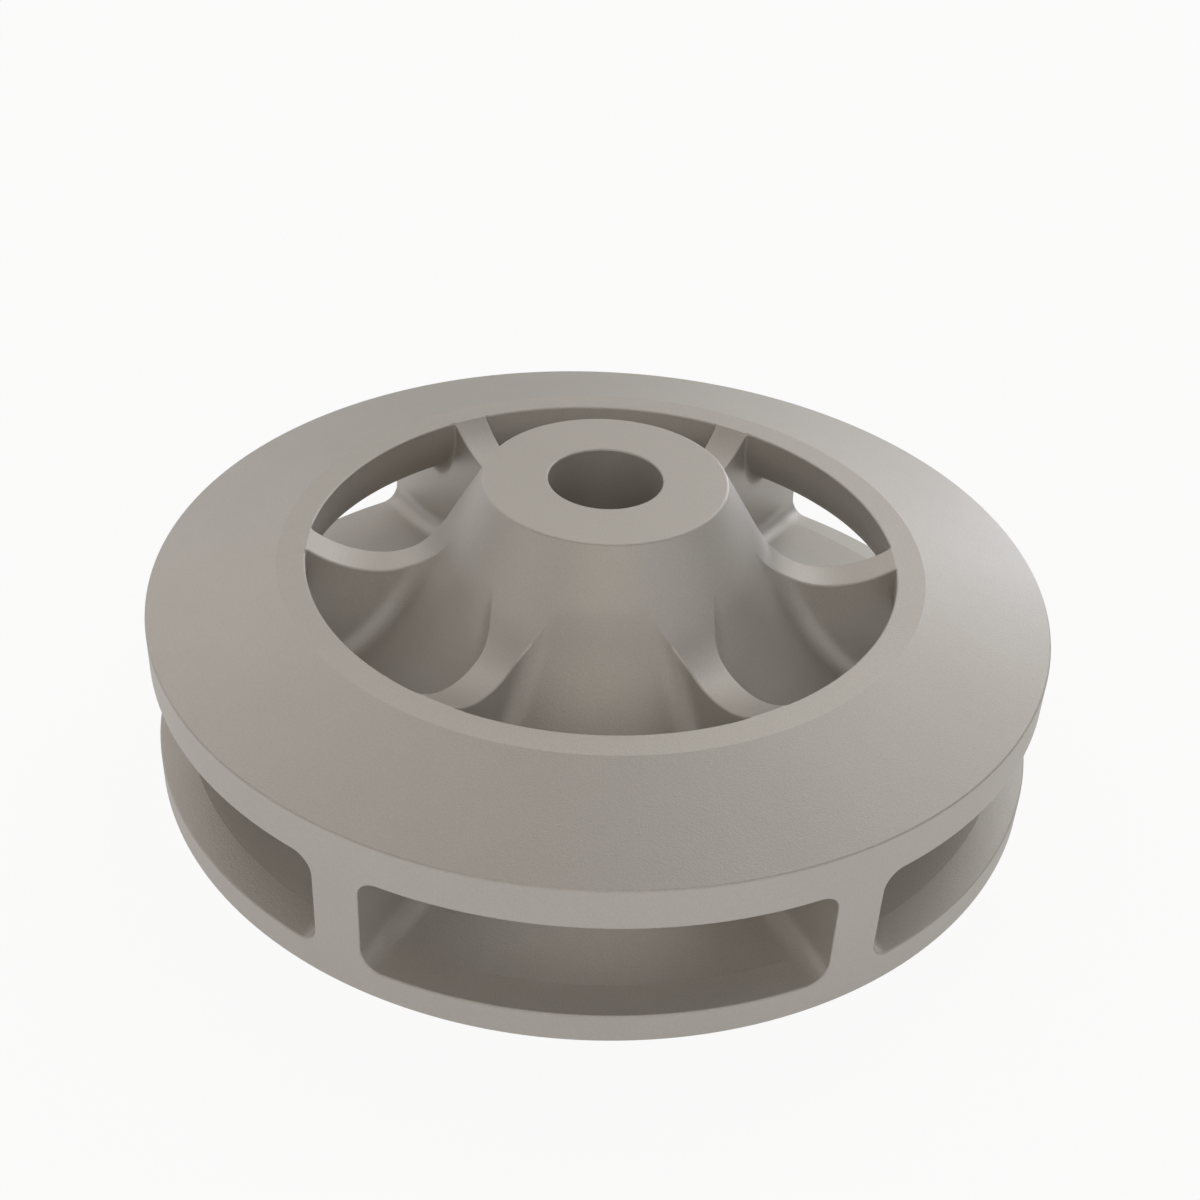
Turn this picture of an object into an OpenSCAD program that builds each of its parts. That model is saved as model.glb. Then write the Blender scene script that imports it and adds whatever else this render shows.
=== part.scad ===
// Closed radial pump impeller, one casting, lying on its back face.
// The frame's origin is the centre of the shaft bore on the back face.
// Z runs along the shaft towards the suction eye. Sizes are in millimetres.

/* [Disc and hub] */
// outside diameter of the back plate, the vane ends and the shroud
impeller_d = 160; // [140:1:220]
// thickness of the back plate at its rim
plate_t = 5.5; // [4:0.5:10]
// shaft bore
bore_d = 20; // [14:0.5:28]
// outside diameter of the hub's flat top
hub_top_d = 42.6; // [34:0.2:46]
// height of the hub above the back face
hub_h = 52.2; // [48:0.2:60]

/* [Shroud] */
// height of the six outlets at the rim
outlet_h = 18.5; // [14:0.5:22]
// height of the shroud's plain rim band
band_h = 7.6; // [5:0.2:9]
// suction eye
eye_d = 104.6; // [96:0.2:112]
// width of the flat ring round the eye
ring_w = 5; // [3:0.5:8]
// height of that ring above the back face
eye_h = 37.7; // [36:0.1:42]
// radius that turns the flow from the eye into the passages
throat_r = 9.6; // [6:0.2:12]
// fall of the shroud's underside towards the rim, in degrees
roof_fall = 2.5; // [0:0.5:4]

/* [Vanes and passages] */
// number of straight radial vanes
vane_count = 6; // [5:1:7]
// vane thickness inside the eye
vane_t_eye = 6.4; // [4:0.2:9]
// vane thickness at the rim
vane_t_rim = 8.6; // [5:0.2:12]
// casting fillet along the foot and the head of every vane
fillet_r = 3.5; // [2:0.25:4.5]
// radius of the lowest point of the hollow leading edges
dip_r = 40; // [36:0.5:43]
// height of that lowest point
dip_z = 33.4; // [31:0.2:35]
// hollow that blends the leading edges into the hub
blend_r = 13.6; // [10:0.2:15]
// radius where the passages leave the hub's cone
flank_r = 26.8; // [25.5:0.1:27.5]
// how much steeper the passage floor starts than the hub's cone, in degrees
flank_turn = 6; // [4:0.5:9]
// width of the sloping land on the plate inside the rim
land_w = 5.4; // [3:0.2:9]
// rise of the land from the rim inwards
land_rise = 0.95; // [0.2:0.05:1.5]
// slope of the passage floor where it meets the land, in degrees
floor_slope = 2; // [0:0.5:6]

/* [Edges] */
// broken edge of the bore, both ends
bore_chamfer = 0.5; // [0.2:0.1:1]
// broken edge of the hub top, the rims and the eye
edge = 0.4; // [0.2:0.1:0.8]

/* [Hidden] */
$fn = 96;
rim_r = impeller_d / 2;
eye_r = eye_d / 2;
hub_r = hub_top_d / 2;
band_z = plate_t + outlet_h;
shroud_z = band_z + band_h;
pitch = 360 / vane_count;
over = 3;
lead = 2;

// leading edge: the outer hollow runs from the dip up to the eye's edge
lip_end_r = eye_r - edge / 4;
lip_end_z = eye_h - edge - edge / 4;
lip_dr = lip_end_r - dip_r;
lip_dz = lip_end_z - dip_z;
lip_r = (lip_dr * lip_dr + lip_dz * lip_dz) / (2 * lip_dz);

// hub cone: the tangent from the hub's top edge to the blending hollow
cone_dr = dip_r - hub_r;
cone_dz = dip_z + blend_r - hub_h;
cone_far = sqrt(cone_dr * cone_dr + cone_dz * cone_dz);
cone_angle = asin(blend_r / cone_far) - atan2(cone_dz, cone_dr);
cone_len = sqrt(cone_far * cone_far - blend_r * blend_r);
touch_r = hub_r + cone_len * cos(cone_angle);
touch_z = hub_h - cone_len * sin(cone_angle);

// passage floor: one swept curve from the hub's cone to the rim land
flank_z = hub_h - (flank_r - hub_r) * tan(cone_angle);
flank_angle = cone_angle + flank_turn;
land_r = rim_r - land_w;
land_z = plate_t + land_rise;
sweep = land_r - flank_r;
flank_dir = [cos(flank_angle), -sin(flank_angle)];
floor_a = [flank_r, flank_z] - lead * flank_dir;
floor_d = [land_r, land_z];
floor_b = floor_a + 0.72 * sweep * flank_dir;
floor_c = floor_d + 0.53 * sweep * [-cos(floor_slope), sin(floor_slope)];

// passage roof: eye wall, throat and underside of the shroud
throat_end_r = eye_r + throat_r * (1 - sin(roof_fall));
throat_end_z = band_z + (rim_r - throat_end_r) * tan(roof_fall);
throat_z = throat_end_z + throat_r * cos(roof_fall);

// the passage's stations: mouth, sweep of the floor, clear air past the rim
floor_steps = 12;
roof_turn = 6;
mouth = 4;
last = floor_steps + 2;
roof_mid = mouth + roof_turn;
corner_steps = 4;
arc_steps = 10;
chain = 2 * corner_steps + arc_steps + 1;
ring = 2 * chain;

function curve(t) =
    pow(1 - t, 3) * floor_a + 3 * pow(1 - t, 2) * t * floor_b
    + 3 * (1 - t) * t * t * floor_c + pow(t, 3) * floor_d;

function floor_pt(i) =
    i == 0 ? floor_a - over * flank_dir
    : i < last ? curve((i - 1) / floor_steps)
    : [rim_r + over, plate_t - over * land_rise / land_w];

function throat_pt(a) =
    [eye_r + throat_r * (1 - cos(a)), throat_z - throat_r * sin(a)];

function under_pt(r) =
    [r, band_z + (rim_r - r) * tan(roof_fall)];

function roof_pt(i) =
    i <= mouth ? [eye_r, throat_z + (eye_h + 7 - throat_z) * (1 - i / mouth)]
    : i <= roof_mid ? throat_pt((90 - roof_fall) * (i - mouth) / roof_turn)
    : under_pt(throat_end_r + (rim_r + over - throat_end_r) * (i - roof_mid) / (last - roof_mid));

// the head fillet grows through the throat, the eye wall's corners stay tight
function head_r(i) =
    fillet_r * min(1, max(0.15, (i - mouth) / roof_turn));

function half_t(r) =
    vane_t_eye / 2 + max(0, r - eye_r) / (rim_r - eye_r) * (vane_t_rim - vane_t_eye) / 2;

function wall_angle(r) =
    pitch / 2 - asin(half_t(r) / r);

// a point h up the station's line, inset from one vane wall
function wall_pt(f, e, h, side, inset) =
    let (r = f[0] + e[0] * h)
    let (a = side * (wall_angle(r) - inset / r * 180 / PI))
    [r * cos(a), r * sin(a), f[1] + e[1] * h];

// a point across the floor or the roof, k from -1 to 1
function span_pt(p, inset, k) =
    let (a = k * (wall_angle(p[0]) - inset / p[0] * 180 / PI))
    [p[0] * cos(a), p[0] * sin(a), p[1]];

function station(f, c, rf, rt) =
    let (tall = norm(c - f))
    let (e = (c - f) / tall)
    concat(
        [for (j = [0 : corner_steps])
            let (b = 90 - 90 * j / corner_steps)
            wall_pt(f, e, rf * (1 - cos(b)), -1, rf * (1 - sin(b)))],
        [for (j = [1 : arc_steps - 1])
            span_pt(f, rf, 2 * j / arc_steps - 1)],
        [for (j = [0 : corner_steps])
            let (b = 90 * j / corner_steps)
            wall_pt(f, e, rf * (1 - cos(b)), 1, rf * (1 - sin(b)))],
        [for (j = [0 : corner_steps])
            let (b = 90 - 90 * j / corner_steps)
            wall_pt(f, e, tall - rt * (1 - cos(b)), 1, rt * (1 - sin(b)))],
        [for (j = [1 : arc_steps - 1])
            span_pt(c, rt, 1 - 2 * j / arc_steps)],
        [for (j = [0 : corner_steps])
            let (b = 90 * j / corner_steps)
            wall_pt(f, e, tall - rt * (1 - cos(b)), -1, rt * (1 - sin(b)))]
    );

passage_pts = [for (i = [0 : last]) each station(floor_pt(i), roof_pt(i), fillet_r, head_r(i))];

passage_sides = [for (i = [0 : last - 1]) for (j = [0 : ring - 1])
    let (a = i * ring + j)
    let (b = i * ring + (j + 1) % ring)
    each [[a, a + ring, b], [b, a + ring, b + ring]]];

// end caps: the floor's chain is laced to the roof's chain
function cap(first, turn) = [for (j = [0 : chain - 2])
    let (a = first + j)
    let (b = first + j + 1)
    let (c = first + ring - 2 - j)
    let (d = first + ring - 1 - j)
    each turn ? [[a, b, c], [a, c, d]] : [[a, c, b], [a, d, c]]];

passage_faces = concat(passage_sides, cap(0, true), cap(last * ring, false));

// one flow passage, centred on the X axis
module passage() {
    polyhedron(points = passage_pts, faces = passage_faces, convexity = 6);
}

// half section of the casting before the passages are cut
module half_section() {
    difference() {
        polygon([
            [0, 0],
            [rim_r - edge, 0],
            [rim_r, edge],
            [rim_r, shroud_z - edge],
            [rim_r - edge, shroud_z],
            [eye_r + ring_w, eye_h],
            [eye_r + edge, eye_h],
            [lip_end_r, lip_end_z],
            [dip_r, dip_z],
            [touch_r, touch_z],
            [hub_r, hub_h - edge],
            [hub_r - edge, hub_h],
            [0, hub_h]
        ]);
        translate([dip_r, dip_z + blend_r])
            circle(r = blend_r);
        intersection() {
            translate([dip_r, dip_z + lip_r])
                circle(r = lip_r);
            translate([dip_r, dip_z - 1])
                square([lip_dr, lip_r]);
        }
    }
}

module bore() {
    translate([0, 0, -1])
        cylinder(d = bore_d, h = hub_h + 2);
    translate([0, 0, -1])
        cylinder(d1 = bore_d + 2 * bore_chamfer + 2, d2 = bore_d, h = bore_chamfer + 1);
    translate([0, 0, hub_h - bore_chamfer])
        cylinder(d1 = bore_d, d2 = bore_d + 2 * bore_chamfer + 2, h = bore_chamfer + 1);
}

module impeller() {
    color([0.62, 0.60, 0.57])
    difference() {
        rotate_extrude()
            half_section();
        bore();
        for (k = [0 : vane_count - 1])
            rotate([0, 0, pitch * (k + 0.5)])
                passage();
    }
}

impeller();
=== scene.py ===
import math

import bmesh
import bpy
from mathutils import Matrix, Vector


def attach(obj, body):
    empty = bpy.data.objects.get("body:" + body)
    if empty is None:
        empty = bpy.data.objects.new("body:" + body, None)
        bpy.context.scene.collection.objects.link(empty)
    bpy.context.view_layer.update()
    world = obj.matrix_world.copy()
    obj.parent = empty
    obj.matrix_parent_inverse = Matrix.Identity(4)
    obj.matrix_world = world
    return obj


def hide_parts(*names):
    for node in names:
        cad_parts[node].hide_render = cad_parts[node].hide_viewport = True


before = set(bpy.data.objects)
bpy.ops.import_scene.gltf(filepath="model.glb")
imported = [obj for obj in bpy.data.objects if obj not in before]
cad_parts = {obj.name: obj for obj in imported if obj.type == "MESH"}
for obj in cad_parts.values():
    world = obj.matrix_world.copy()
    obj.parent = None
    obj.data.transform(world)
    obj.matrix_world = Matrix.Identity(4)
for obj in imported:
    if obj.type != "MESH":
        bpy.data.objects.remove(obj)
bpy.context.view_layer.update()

MM = 0.001

# sizes of the casting in millimetres, the same as in the CAD source
RIM_R = 80.0
PLATE_T = 5.5
BORE_R = 10.0
HUB_R = 21.3
HUB_H = 52.2
OUTLET_H = 18.5
BAND_H = 7.6
EYE_R = 52.3
EYE_H = 37.7
RING_W = 5.0
THROAT_R = 9.6
ROOF_FALL = math.radians(2.5)
VANES = 6
VANE_HALF_EYE = 3.2
VANE_HALF_RIM = 4.3
FILLET_R = 3.5
DIP_R = 40.0
DIP_Z = 33.4
BLEND_R = 13.6
FLANK_R = 26.8
LAND_W = 5.4
LAND_RISE = 0.95
FLOOR_SLOPE = math.radians(2)
# how far up the hub's flank the floor's curve starts
FLOOR_LEAD = 2.0
# how far the curve holds its first and its last direction, as shares of its run
FLOOR_PULL_HUB = 0.72
FLOOR_PULL_LAND = 0.53

# drawn otherwise than in the CAD source: a gentler turn of the floor off the hub's cone, the corners
# of the eye's wall, finer broken edges, and vanes that swell in a slow curve from inside the eye
FLANK_TURN = math.radians(5.0)
EYE_FILLET_R = 0.6
BROKEN_EDGE = 0.28
SWELL_LEAD = 8.0
SWELL_POWER = 1.3
# shares of the roof's length at which the head fillet starts to grow, and over which it grows
HEAD_START = 0.17
HEAD_GROWTH = 0.36

HALF_PITCH = math.pi / VANES
BAND_Z = PLATE_T + OUTLET_H
SHROUD_Z = BAND_Z + BAND_H
RING_R = EYE_R + RING_W
LAND_R = RIM_R - LAND_W

# leading edge: an outer hollow runs from the dip up to the ring
LIP_R = ((EYE_R - DIP_R) ** 2 + (EYE_H - DIP_Z) ** 2) / (2 * (EYE_H - DIP_Z))

# hub cone: the tangent from the hub's top edge to the blending hollow
CONE_RUN = DIP_R - HUB_R
CONE_DROP = DIP_Z + BLEND_R - HUB_H
CONE_FAR = math.hypot(CONE_RUN, CONE_DROP)
CONE = math.asin(BLEND_R / CONE_FAR) - math.atan2(CONE_DROP, CONE_RUN)
CONE_END_R = HUB_R + math.sqrt(CONE_FAR**2 - BLEND_R**2) * math.cos(CONE)

# steps of the guide lines that the rows are spaced along
FLOOR_STEPS = 240
THROAT_STEPS = 80
MOUTH_STEPS = 200
# steps that bring a guide line's first point onto the top surface
TRIM_STEPS = 20
# millimetres from the land's inner line to its guide points, on the slope and past the rim
LAND_GUIDES = (3.0, 10.0)
# millimetres from the ring to the roof's first guide points, over and under it, and from the rim to the last
OVER_RING = 3.0
UNDER_RING = 1.0
PAST_RIM = 5.0

# how finely the half sector from vane centre to passage centre is divided
SPAN = 16
STRIP = 4
CORNER = 2 * STRIP
WALL = 16
FLOW = 38
LAND_ROWS = 4
LAND_SHARE = 0.078
# rows on the shroud's cone and ring, the hub's cone and top, the bore and the back face
SHROUD_ROWS = (9, 4)
HUB_ROWS = (6, 5)
BACK_ROWS = (12, 14)
# rows of the rim band, as shares of the way from the outlet's edge to the band's own edges
BAND_SHARES = (0, 0.24, 0.48, 0.74, 1)
# how strongly the rows crowd towards the ends of a passage and of a turned face
FLOW_PINCH = 0.25
TURNED_PINCH = 0.45

# bends in degrees: past the first an edge is broken, past the second it is drawn sharp, past the third
# it is drawn sharp along the land's line, and past the last at the border of a broken edge
CORNER_BEND = 45
CREASE_BEND = 13
LAND_BEND = 2.5
ROUND_BEND = 6
# millimetres within which points are merged, and within which one is on the land's line
MERGE = 0.002
ON_LINE = 0.02


def top_height(r):
    """Height of the hub cone, the hollow leading edges and the ring."""
    if r <= CONE_END_R:
        return HUB_H - (r - HUB_R) * math.tan(CONE)
    if r <= DIP_R:
        return DIP_Z + BLEND_R - math.sqrt(BLEND_R**2 - (r - DIP_R) ** 2)
    if r <= EYE_R:
        return DIP_Z + LIP_R - math.sqrt(LIP_R**2 - (r - DIP_R) ** 2)
    return EYE_H


def vane_half(r):
    """Half the vane's thickness at a radius."""
    t = min(max((r - EYE_R + SWELL_LEAD) / (RIM_R - EYE_R + SWELL_LEAD), 0), 1)
    return VANE_HALF_EYE + (VANE_HALF_RIM - VANE_HALF_EYE) * t**SWELL_POWER


def vane_angle(r, gap):
    """Angle from the vane's centre to a point that stands a gap off its side, at a radius."""
    return math.asin(vane_half(r) / r) + gap / r


def head_radius(share):
    """Head fillet: tight in the eye wall's corners, growing round the throat to the full casting fillet."""
    t = min(max((share - HEAD_START) / HEAD_GROWTH, 0), 1)
    return EYE_FILLET_R + (FILLET_R - EYE_FILLET_R) * t * t * (3 - 2 * t)


def floor_line():
    """Points (r, z) down the hub's flank, along the passage floor and over the rim land."""
    turn = CONE + FLANK_TURN
    down = Vector((math.cos(turn), -math.sin(turn)))
    land = Vector((LAND_R, PLATE_T + LAND_RISE))
    out = Vector((LAND_W, -LAND_RISE)) / LAND_W
    flat = Vector((-math.cos(FLOOR_SLOPE), math.sin(FLOOR_SLOPE)))
    run = land.x - FLANK_R
    start = Vector((FLANK_R, top_height(FLANK_R))) - FLOOR_LEAD * down
    hold_down = start + FLOOR_PULL_HUB * run * down
    hold_flat = land + FLOOR_PULL_LAND * run * flat
    line = [start - FLOOR_LEAD * down]
    for k in range(FLOOR_STEPS + 1):
        t = k / FLOOR_STEPS
        line.append(
            (1 - t) ** 3 * start
            + 3 * (1 - t) ** 2 * t * hold_down
            + 3 * (1 - t) * t * t * hold_flat
            + t**3 * land
        )
    for reach in LAND_GUIDES:
        line.append(land + out * reach)
    return line


def roof_line():
    """Points (r, z) down the eye wall, round the throat and along the shroud's underside."""
    end_r = EYE_R + THROAT_R * (1 - math.sin(ROOF_FALL))
    end_z = BAND_Z + (RIM_R - end_r) * math.tan(ROOF_FALL)
    centre = Vector((EYE_R + THROAT_R, end_z + THROAT_R * math.cos(ROOF_FALL)))
    line = [Vector((EYE_R, EYE_H + OVER_RING)), Vector((EYE_R, EYE_H - UNDER_RING))]
    for k in range(THROAT_STEPS + 1):
        a = (math.pi / 2 - ROOF_FALL) * k / THROAT_STEPS
        line.append(centre - THROAT_R * Vector((math.cos(a), math.sin(a))))
    line.append(Vector((RIM_R, BAND_Z)))
    line.append(Vector((RIM_R + PAST_RIM, BAND_Z - PAST_RIM * math.tan(ROOF_FALL))))
    return line


def travelled(line):
    """How far along the line each of its points lies."""
    gone = [0.0]
    for a, b in zip(line, line[1:]):
        gone.append(gone[-1] + (b - a).length)
    return gone


def shifted(line, gap):
    """The line moved square to itself, to the left of its travel, by gap(share of its length)."""
    gone = travelled(line)
    moved = []
    for k, p in enumerate(line):
        a, b = line[max(k - 1, 0)], line[min(k + 1, len(line) - 1)]
        along = (b - a).normalized()
        moved.append(p + gap(gone[k] / gone[-1]) * Vector((-along.y, along.x)))
    return moved


def trimmed(line):
    """The part of the line between the casting's top surface and its rim."""
    inside = []
    for a, b in zip(line, line[1:]):
        over_a, over_b = a.y - top_height(a.x), b.y - top_height(b.x)
        if not inside and over_a > 0 >= over_b:
            t = over_a / (over_a - over_b)
            for _ in range(TRIM_STEPS):
                p = a.lerp(b, t)
                t -= (p.y - top_height(p.x)) / (over_b - over_a)
            inside.append(a.lerp(b, t))
            inside[0].y = top_height(inside[0].x)
        if inside and b.x >= RIM_R:
            inside.append(a.lerp(b, (RIM_R - a.x) / (b.x - a.x)))
            break
        if inside:
            inside.append(b)
    return inside


def even(count):
    """Shares from 0 to 1 in equal steps."""
    return [k / count for k in range(count + 1)]


def eased(count, pinch):
    """Shares from 0 to 1 that crowd towards both ends."""
    turn = 2 * math.pi
    return [k / count - pinch * math.sin(turn * k / count) / turn for k in range(count + 1)]


def spaced(line, shares):
    """Points at the given shares of the line's length."""
    gone = travelled(line)
    points, k = [], 0
    for share in shares:
        want = share * gone[-1]
        while k < len(line) - 2 and gone[k + 1] < want:
            k += 1
        step = gone[k + 1] - gone[k]
        points.append(line[k].lerp(line[k + 1], (want - gone[k]) / step if step else 0))
    return points


def creased(line, shares):
    """As spaced, with the row at the land's inner line put exactly on it."""
    gone = travelled(line)
    at = min(range(len(line)), key=lambda k: abs(line[k].x - LAND_R))
    here = gone[at] / gone[-1]
    kept = 1 - LAND_SHARE
    moved = []
    for s in shares:
        before = s * here / kept
        after = 1 - (1 - s) * (1 - here) / LAND_SHARE
        moved.append(before if s <= kept else after)
    return spaced(line, moved)


def foot_line(turn, shares):
    """Points along the foot fillet, at a turn round its arc from the floor up to the vane."""
    lift = FILLET_R * (1 - math.cos(turn))
    return creased(trimmed(shifted(floor_line(), lambda share: lift)), shares)


def head_line(turn, shares):
    """Points along the head fillet, at a turn round its arc from the roof down to the vane."""
    inward = 1 - math.cos(turn)
    return spaced(trimmed(shifted(roof_line(), lambda share: -head_radius(share) * inward)), shares)


def vane_side(foot, head, shares):
    """Rows up the vane's side from fillet to fillet: a grid stretched over its four edges."""
    mouth_r = [foot[0].x + (head[0].x - foot[0].x) * k / MOUTH_STEPS for k in range(MOUTH_STEPS + 1)]
    mouth = spaced([Vector((r, top_height(r))) for r in mouth_r], even(WALL))
    rim = spaced([foot[-1], head[-1]], even(WALL))
    rows = []
    for s, low, high in zip(shares, foot, head):
        row = []
        for j, t in enumerate(even(WALL)):
            corners = (1 - s) * ((1 - t) * mouth[0] + t * mouth[-1]) + s * ((1 - t) * rim[0] + t * rim[-1])
            row.append((1 - s) * mouth[j] + s * rim[j] + (1 - t) * low + t * high - corners)
        rows.append(row)
    return rows


def flow_grid():
    """Rows from mouth to rim of points (r, angle, z) round half a passage, floor centre to roof centre."""
    # the last rows stand on the rim land, whose inner line is a crease
    shares = [s * (1 - LAND_SHARE) for s in eased(FLOW - LAND_ROWS, FLOW_PINCH)]
    shares += [1 - LAND_SHARE * (1 - k / LAND_ROWS) for k in range(1, LAND_ROWS + 1)]
    turns = [math.pi / 2 * k / CORNER for k in range(CORNER + 1)]
    foot = [foot_line(turn, shares) for turn in turns]
    head = [head_line(turn, shares) for turn in turns]
    side = vane_side(foot[-1], head[-1], shares)
    rows = []
    for i, s in enumerate(shares):
        rise, fall = foot[0][i], head[0][i]
        corner = vane_angle(rise.x, FILLET_R)
        row = [(rise.x, HALF_PITCH + (corner - HALF_PITCH) * k / SPAN, rise.y) for k in range(SPAN)]
        for turn, line in zip(turns, foot):
            p = line[i]
            row.append((p.x, vane_angle(p.x, FILLET_R * (1 - math.sin(turn))), p.y))
        for p in side[i][1:-1]:
            row.append((p.x, vane_angle(p.x, 0), p.y))
        for turn, line in zip(reversed(turns), reversed(head)):
            p = line[i]
            row.append((p.x, vane_angle(p.x, head_radius(s) * (1 - math.sin(turn))), p.y))
        corner = vane_angle(fall.x, head_radius(s))
        row += [(fall.x, corner + (HALF_PITCH - corner) * k / SPAN, fall.y) for k in range(1, SPAN + 1)]
        rows.append(row)
    return rows


def sheet(bm, rows):
    """A grid of faces laid through rows of points (r, angle, z)."""
    across, along = len(rows[0]) - 1, len(rows) - 1
    grid = bmesh.ops.create_grid(bm, x_segments=across, y_segments=along, size=1)["verts"]
    for v in grid:
        j = round((v.co.x + 1) / 2 * across)
        i = round((v.co.y + 1) / 2 * along)
        r, a, z = rows[i][j]
        v.co = (r * math.cos(a), r * math.sin(a), z)


def turned_rows(corners, steps, first, last):
    """Rows of points round the half sector along a line of (r, z) corners.

    Each row holds a list of angles, which change evenly from the first list to the last.
    """
    line = [Vector(corners[0])]
    for a, b, count in zip(corners, corners[1:], steps):
        line += [Vector(a).lerp(Vector(b), t) for t in eased(count, TURNED_PINCH)[1:]]
    rows = []
    for p, t in zip(line, even(len(line) - 1)):
        rows.append([(p.x, a + (b - a) * t, p.y) for a, b in zip(first, last)])
    return rows


def lay_half_sector(bm):
    """Lays the casting's skin from the middle of a vane to the middle of a passage."""
    flow = flow_grid()
    mouth, window = flow[0], flow[-1]
    sheet(bm, flow)

    # leading edge: level rows from the mouth's edge to the vane's centre
    edge = mouth[SPAN : len(mouth) - SPAN]
    sheet(bm, [[(r, a * t, z) for r, a, z in edge] for t in even(STRIP)])

    # rim band: from the outlet's edge out to the band's own edges
    plate_edge = [(RIM_R, a, 0.0) for _, a, _ in window[: SPAN + 1]]
    plate_edge += [(RIM_R, window[SPAN][1] * (1 - t), 0.0) for t in even(STRIP)[1:]]
    post = window[SPAN + STRIP : len(window) - SPAN - STRIP]
    reach = SHROUD_Z / (len(post) - 1)
    vane_end = [(RIM_R, 0.0, reach * k) for k in range(1, len(post) - 1)]
    shroud_edge = [(r, a, SHROUD_Z) for r, a, _ in reversed(plate_edge)]
    border = plate_edge + vane_end + shroud_edge
    band = []
    for t in BAND_SHARES:
        pairs = zip(window, border)
        band.append([(RIM_R, a + (b - a) * t, z + (y - z) * t) for (_, a, z), (_, b, y) in pairs])
    sheet(bm, band)

    # shroud: rim, cone and ring down to the eye's edge
    rim_angles = [a for _, a, _ in reversed(plate_edge)]
    roof_angles = [a for _, a, _ in mouth[len(mouth) - SPAN - 1 :]]
    eye_angles = [roof_angles[0] * k / STRIP for k in range(STRIP)] + roof_angles
    shroud = [(RIM_R, SHROUD_Z), (RING_R, EYE_H), (EYE_R, EYE_H)]
    sheet(bm, turned_rows(shroud, SHROUD_ROWS, rim_angles, eye_angles))

    # hub cone, hub top, bore and back face, round to the rim band's foot
    floor_angles = [a for _, a, _ in reversed(mouth[: SPAN + 1])]
    hub_angles = [floor_angles[0] * k / STRIP for k in range(STRIP)] + floor_angles
    r, _, z = mouth[0]
    hub = [(r, z), (HUB_R, HUB_H), (BORE_R, HUB_H)]
    sheet(bm, turned_rows(hub, HUB_ROWS, hub_angles, hub_angles))
    back = [(BORE_R, HUB_H), (BORE_R, 0), (RIM_R, 0)]
    sheet(bm, turned_rows(back, BACK_ROWS, hub_angles, rim_angles))


def close_round_shaft(bm):
    """Mirrors the half sector to a whole one, turns it round the shaft and joins the seams."""
    bmesh.ops.remove_doubles(bm, verts=bm.verts, dist=MERGE)
    half = bm.verts[:] + bm.edges[:] + bm.faces[:]
    bmesh.ops.mirror(bm, geom=half, matrix=Matrix(), merge_dist=MERGE, axis="Y")
    bmesh.ops.spin(
        bm,
        geom=bm.verts[:] + bm.edges[:] + bm.faces[:],
        cent=(0, 0, 0),
        axis=(0, 0, 1),
        angle=2 * HALF_PITCH * (VANES - 1),
        steps=VANES - 1,
        use_duplicate=True,
    )
    bmesh.ops.remove_doubles(bm, verts=bm.verts, dist=MERGE)
    bmesh.ops.recalc_face_normals(bm, faces=bm.faces)


def on_land_line(edge):
    """Whether an edge lies along the inner line of the rim land."""
    return all(
        abs(math.hypot(v.co.x, v.co.y) - LAND_R) < ON_LINE and v.co.z < PLATE_T + LAND_RISE + ON_LINE
        for v in edge.verts
    )


def break_corners(bm):
    """Breaks every corner of the casting, and leaves its shallower creases crisp."""
    corners = []
    for e in bm.edges:
        bend = math.degrees(abs(e.calc_face_angle(0)))
        if bend > CORNER_BEND:
            corners.append(e)
        elif bend > CREASE_BEND or (bend > LAND_BEND and on_land_line(e)):
            e.smooth = False
    broken = bmesh.ops.bevel(
        bm,
        geom=corners,
        offset=BROKEN_EDGE,
        segments=3,
        profile=0.5,
        affect="EDGES",
        material=-1,
        clamp_overlap=False,
    )["faces"]
    for f in bm.faces:
        f.smooth = True
    rounded = set(broken)
    for e in bm.edges:
        bend = math.degrees(e.calc_face_angle(0))
        if bend > ROUND_BEND and len(rounded.intersection(e.link_faces)) == 1:
            e.smooth = False


def impeller_mesh():
    """The whole casting: plate, hub, vanes and shroud in one closed skin."""
    bm = bmesh.new()
    lay_half_sector(bm)
    close_round_shaft(bm)
    break_corners(bm)
    bmesh.ops.scale(bm, vec=(MM, MM, MM), verts=bm.verts)
    mesh = bpy.data.meshes.new("impeller_casting")
    bm.to_mesh(mesh)
    bm.free()
    return mesh


casting = bpy.data.objects.new("impeller_casting", impeller_mesh())
bpy.context.scene.collection.objects.link(casting)
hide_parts("impeller")
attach(casting, "root")


# the casting's material

# bead dimples are about 0.1 mm across, too fine to show, and are drawn at 0.3 mm
DIMPLE_W = 0.3
# how deep a drawn dimple is, in millimetres
DIMPLE_H = 0.08
# millimetres across the cloudy change of tone that the mould's shell leaves
CLOUD_W = 14
# how much of the change of tone is cloud, the rest being dimples
CLOUD_SHARE = 0.2
DARK_STEEL = "#c1bdb7"
PALE_STEEL = "#ccc8c2"


def linear(hex_colour):
    """An sRGB hex value as linear RGBA."""
    parts = [int(hex_colour[k : k + 2], 16) / 255 for k in (1, 3, 5)]
    return [p / 12.92 if p <= 0.04045 else ((p + 0.055) / 1.055) ** 2.4 for p in parts] + [1.0]


def add(tree, kind, settings=None, **inputs):
    """Adds a node with its settings and inputs, which are values or other nodes' sockets (i0 is input 0)."""
    node = tree.nodes.new("ShaderNode" + kind)
    for name, value in (settings or {}).items():
        setattr(node, name, value)
    for name, value in inputs.items():
        by_number = name[0] == "i" and name[1:].isdigit()
        socket = node.inputs[int(name[1:]) if by_number else name.replace("_", " ")]
        if isinstance(value, bpy.types.NodeSocket):
            tree.links.new(value, socket)
        else:
            socket.default_value = value
    return node


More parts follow.
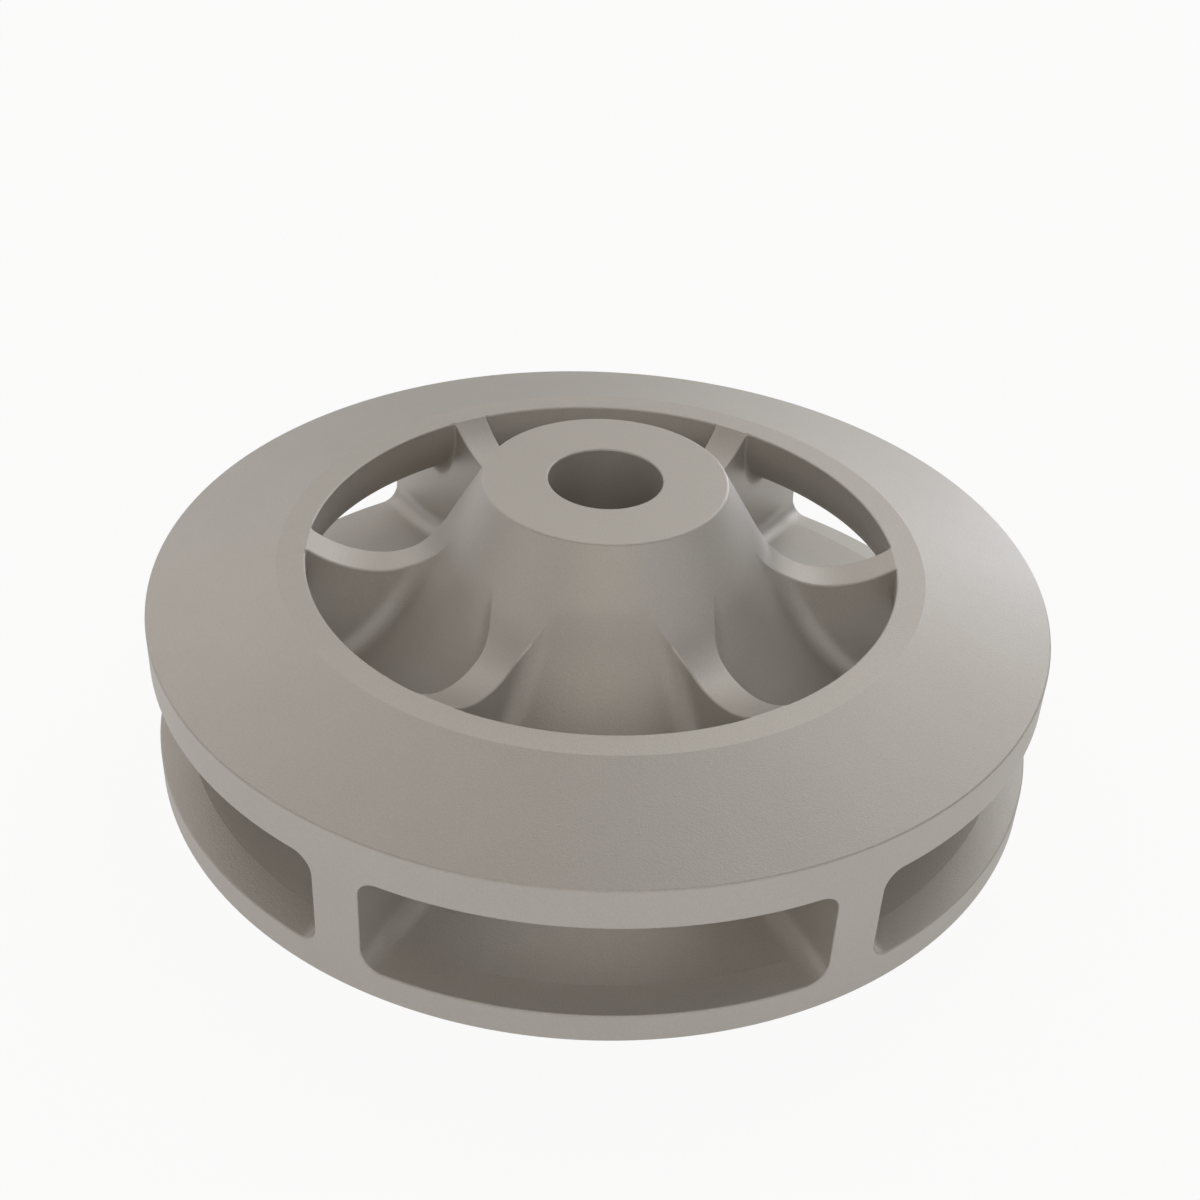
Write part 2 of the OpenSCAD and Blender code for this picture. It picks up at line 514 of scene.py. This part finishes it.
def new_material(name):
    """An empty material and its node tree."""
    material = bpy.data.materials.new(name)
    material.use_nodes = True
    tree = material.node_tree
    tree.nodes.clear()
    return material, tree


def cast_stainless():
    """Investment-cast stainless steel, glass-bead blasted: an even satin grey-tan with a fine grain."""
    material, tree = new_material("bead_blasted_cast_stainless")
    place = add(tree, "TexCoord").outputs["Object"]
    grain = add(tree, "TexNoise", Vector=place, Scale=1 / (DIMPLE_W * MM), Detail=2.0, Roughness=0.6)
    cloud = add(tree, "TexNoise", Vector=place, Scale=1 / (CLOUD_W * MM), Detail=3.0, Roughness=0.55)
    mottle = add(tree, "Mix", i0=CLOUD_SHARE, i2=grain.outputs["Fac"], i3=cloud.outputs["Fac"])
    spread = add(tree, "MapRange", Value=mottle.outputs[0], From_Min=0.3, From_Max=0.7)
    tone = add(
        tree,
        "Mix",
        {"data_type": "RGBA"},
        i0=spread.outputs["Result"],
        i6=linear(DARK_STEEL),
        i7=linear(PALE_STEEL),
    )
    satin = add(tree, "MapRange", Value=grain.outputs["Fac"], To_Min=0.40, To_Max=0.50)
    dimples = add(tree, "Bump", Strength=0.6, Distance=DIMPLE_H * MM, Height=grain.outputs["Fac"])
    steel = add(
        tree,
        "BsdfPrincipled",
        Base_Color=tone.outputs[2],
        Metallic=0.55,
        Roughness=satin.outputs["Result"],
        Normal=dimples.outputs["Normal"],
    )
    add(tree, "OutputMaterial", Surface=steel.outputs["BSDF"])
    return material


casting.data.materials.append(cast_stainless())


# floor, light and camera

WHITE = linear("#ffffff")
# metres: the paper reaches past the view, and lies just under the casting's back face
PAPER_R = 14
PAPER_DROP = 0.0002

# soft panels round the table: bearing, height and reach in degrees, strength, colour
PANELS = (
    (60, 12, 30, 0.93, "#ffffff"),
    (45, 42, 38, 0.72, "#ffffff"),
    (130, 14, 34, 0.64, "#ffffff"),
    (210, 12, 30, 0.7, "#fff6ee"),
    (320, 12, 34, 0.52, "#ffffff"),
    (270, 40, 38, 0.85, "#fff5ea"),
    (90, 45, 36, 0.53, "#fff9f1"),
    (150, 45, 38, 0.42, "#fff1e6"),
)
# a panel is at full strength over its middle, its reach divided by this
PANEL_MIDDLE = 6
# light from the room's walls
ROOM = 0.115

# the camera's place in metres and its angles in degrees, from the ellipses of the rim, the eye
# and the hub top in the photo
CAMERA_PLACE = (-0.00797, -0.25665, 0.20485)
CAMERA_BEARING = -1.8
CAMERA_DOWN = 34.796
CAMERA_ROLL = 2.921


def backdrop_share(tree, plain, mirrored):
    """How much of the plain white backdrop a ray sees: the metal sees it paler than the camera does."""
    path = add(tree, "LightPath")
    seen = add(
        tree,
        "Math",
        {"operation": "MAXIMUM"},
        i0=path.outputs["Is Camera Ray"],
        i1=path.outputs["Is Transmission Ray"],
    )
    straight = add(tree, "Math", {"operation": "MULTIPLY"}, i0=seen.outputs[0], i1=plain)
    glossy = add(tree, "Math", {"operation": "MULTIPLY"}, i0=path.outputs["Is Glossy Ray"], i1=mirrored)
    return add(
        tree,
        "Math",
        {"operation": "MAXIMUM"},
        i0=straight.outputs[0],
        i1=glossy.outputs[0],
    ).outputs[0]


def white_paper():
    """Matt white paper that keeps the object's shadow and closes to white behind it."""
    material, tree = new_material("white_paper_floor")
    paper = add(tree, "BsdfDiffuse", Color=WHITE)
    glow = add(tree, "Emission", Color=WHITE, Strength=1.0)
    share = backdrop_share(tree, plain=0.92, mirrored=0.55)
    both = add(tree, "MixShader", i0=share, i1=paper.outputs[0], i2=glow.outputs[0])
    add(tree, "OutputMaterial", Surface=both.outputs[0])
    return material


def paper_floor():
    """A round floor of white paper under the casting."""
    bm = bmesh.new()
    bmesh.ops.create_circle(bm, cap_ends=True, segments=96, radius=PAPER_R)
    bmesh.ops.translate(bm, vec=(0, 0, -PAPER_DROP), verts=bm.verts)
    mesh = bpy.data.meshes.new("floor")
    bm.to_mesh(mesh)
    bm.free()
    mesh.materials.append(white_paper())
    floor = bpy.data.objects.new("floor", mesh)
    bpy.context.scene.collection.objects.link(floor)
    return floor


def studio_room():
    """A dim room with soft panels of light round the table."""
    world = bpy.data.worlds.new("studio")
    bpy.context.scene.world = world
    world.use_nodes = True
    tree = world.node_tree
    tree.nodes.clear()
    way = add(tree, "TexCoord").outputs["Generated"]
    light = add(tree, "Background", Color=WHITE, Strength=ROOM).outputs[0]
    for bearing, height, reach, strength, colour in PANELS:
        around, above = math.radians(bearing), math.radians(height)
        towards = (math.cos(above) * math.cos(around), math.cos(above) * math.sin(around), math.sin(above))
        facing = add(tree, "VectorMath", {"operation": "DOT_PRODUCT"}, i0=way, i1=towards)
        soft = add(
            tree,
            "MapRange",
            {"interpolation_type": "SMOOTHSTEP"},
            Value=facing.outputs["Value"],
            From_Min=math.cos(math.radians(reach)),
            From_Max=math.cos(math.radians(reach / PANEL_MIDDLE)),
            To_Max=strength,
        )
        panel = add(tree, "Background", Color=linear(colour), Strength=soft.outputs["Result"])
        light = add(tree, "AddShader", i0=light, i1=panel.outputs[0]).outputs[0]
    white = add(tree, "Background", Color=WHITE, Strength=1.0)
    share = backdrop_share(tree, plain=0.97, mirrored=0.1)
    both = add(tree, "MixShader", i0=share, i1=light, i2=white.outputs[0])
    add(tree, "OutputWorld", Surface=both.outputs[0])


def strip_light(name, place, aim, size, watts, colour):
    """A rectangular lamp at a place, turned to its aim."""
    lamp = bpy.data.lights.new(name, "AREA")
    lamp.shape = "RECTANGLE"
    lamp.size, lamp.size_y = size
    lamp.energy = watts
    lamp.color = linear(colour)[:3]
    box = bpy.data.objects.new(name, lamp)
    box.location = place
    box.rotation_euler = (Vector(aim) - Vector(place)).to_track_quat("-Z", "Y").to_euler()
    bpy.context.scene.collection.objects.link(box)


def photo_camera():
    """The camera at the photo's place and angle."""
    lens = bpy.data.cameras.new("camera")
    lens.sensor_width = 36
    lens.lens = 51.52
    lens.clip_start, lens.clip_end = 0.01, 40
    camera = bpy.data.objects.new("camera", lens)
    camera.matrix_world = (
        Matrix.Translation(CAMERA_PLACE)
        @ Matrix.Rotation(math.radians(CAMERA_BEARING), 4, "Z")
        @ Matrix.Rotation(math.radians(90 - CAMERA_DOWN), 4, "X")
        @ Matrix.Rotation(math.radians(CAMERA_ROLL), 4, "Z")
    )
    bpy.context.scene.collection.objects.link(camera)
    return camera


floor_object = paper_floor()
studio_room()
strip_light(
    "strip_behind_right",
    place=(0.545, 0.839, 0.03),
    aim=(0, 0, 0.03),
    size=(0.1, 0.04),
    watts=0.75,
    colour="#dfe8ff",
)
bpy.context.scene.camera = photo_camera()
bpy.context.scene.view_settings.view_transform = "Standard"
